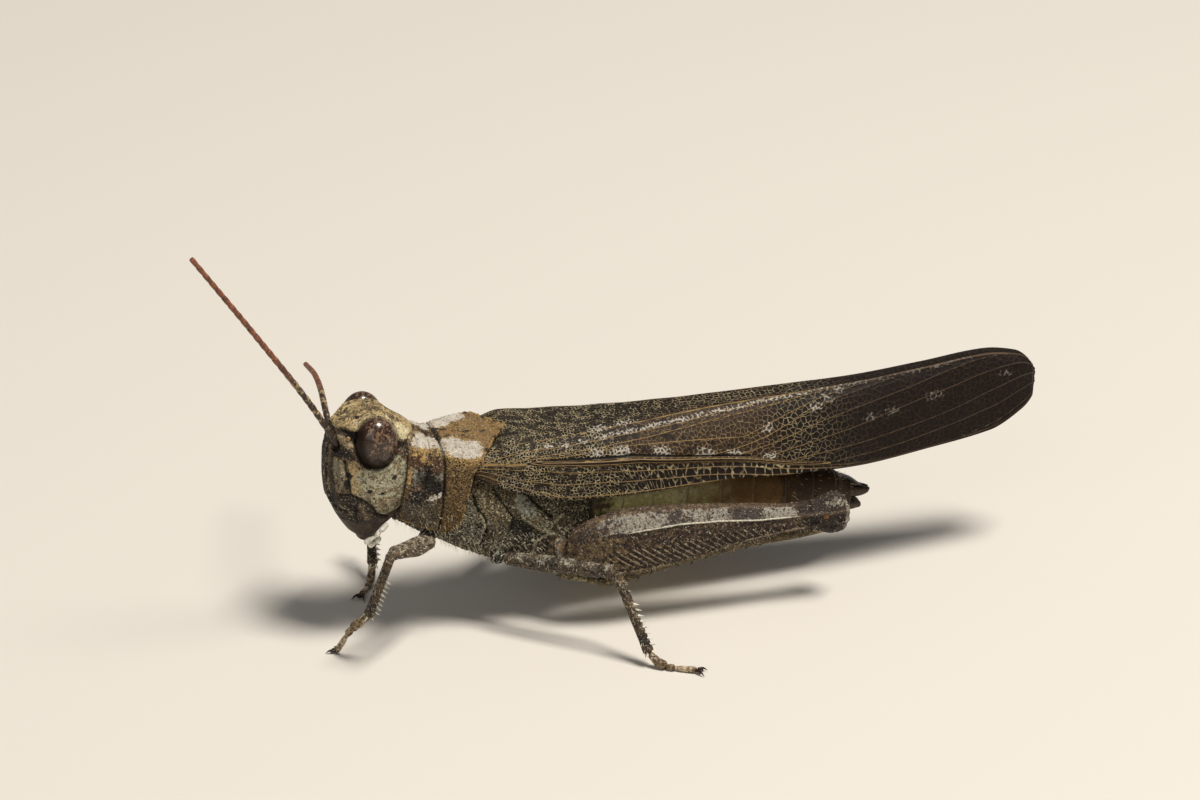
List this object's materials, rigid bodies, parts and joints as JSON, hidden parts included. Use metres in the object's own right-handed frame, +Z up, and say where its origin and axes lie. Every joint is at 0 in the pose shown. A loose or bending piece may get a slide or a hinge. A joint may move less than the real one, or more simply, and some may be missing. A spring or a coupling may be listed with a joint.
{
  "type": "grasshopper",
  "caption": "A life-size band-winged grasshopper standing with its wings folded, one feeler raised and its hind legs tucked up, as a still model.",
  "frame": {"origin": "on the floor, under the middle of the model's bounding box", "axes": "+X towards the wing tips, so the head faces -X; +Y to the animal's right side; +Z up"},
  "size_m": [0.0342, 0.0166, 0.0172],
  "materials": {
    "head": "matte",
    "eye": "gloss",
    "feeler": "satin",
    "mouth": "satin",
    "palp": "satin",
    "shield": "matte",
    "thorax": "matte",
    "belly": "satin",
    "belly_tip": "satin",
    "wing": "matte",
    "fan": "matte",
    "thigh": "matte",
    "leg": "matte",
    "shin": "satin",
    "foot": "satin"
  },
  "bodies": {
    "root": {"abdomen_1": "belly", "abdomen_2": "belly", "abdomen_3": "belly", "abdomen_4": "belly", "abdomen_5": "belly", "abdomen_6": "belly", "abdomen_7": "belly", "abdomen_8": "belly_tip", "abdomen_tip": "belly_tip", "antenna_left": "feeler", "antenna_right": "feeler", "eye_left": "eye", "eye_right": "eye", "front_coxa_left": "thorax", "front_coxa_right": "thorax", "front_femur_left": "leg", "front_femur_right": "leg", "front_tarsus_left": "foot", "front_tarsus_right": "foot", "front_tibia_left": "leg", "front_tibia_right": "leg", "head": "head", "hind_coxa_left": "thorax", "hind_coxa_right": "thorax", "hind_femur_left": "thigh", "hind_femur_right": "thigh", "hind_tarsus_left": "foot", "hind_tarsus_right": "foot", "hind_tibia_left": "shin", "hind_tibia_right": "shin", "hindwing_left": "fan", "hindwing_right": "fan", "labial_palp_left": "palp", "labial_palp_right": "palp", "labium": "mouth", "labrum": "mouth", "mandible_left": "mouth", "mandible_right": "mouth", "maxillary_palp_left": "palp", "maxillary_palp_right": "palp", "mesothorax": "thorax", "metathorax": "thorax", "mid_coxa_left": "thorax", "mid_coxa_right": "thorax", "mid_femur_left": "leg", "mid_femur_right": "leg", "mid_tarsus_left": "foot", "mid_tarsus_right": "foot", "mid_tibia_left": "leg", "mid_tibia_right": "leg", "pronotum": "shield", "prothorax": "thorax", "tegmen_left": "wing", "tegmen_right": "wing", "valve_lower": "belly_tip", "valve_upper": "belly_tip"}
  },
  "joints": []
}
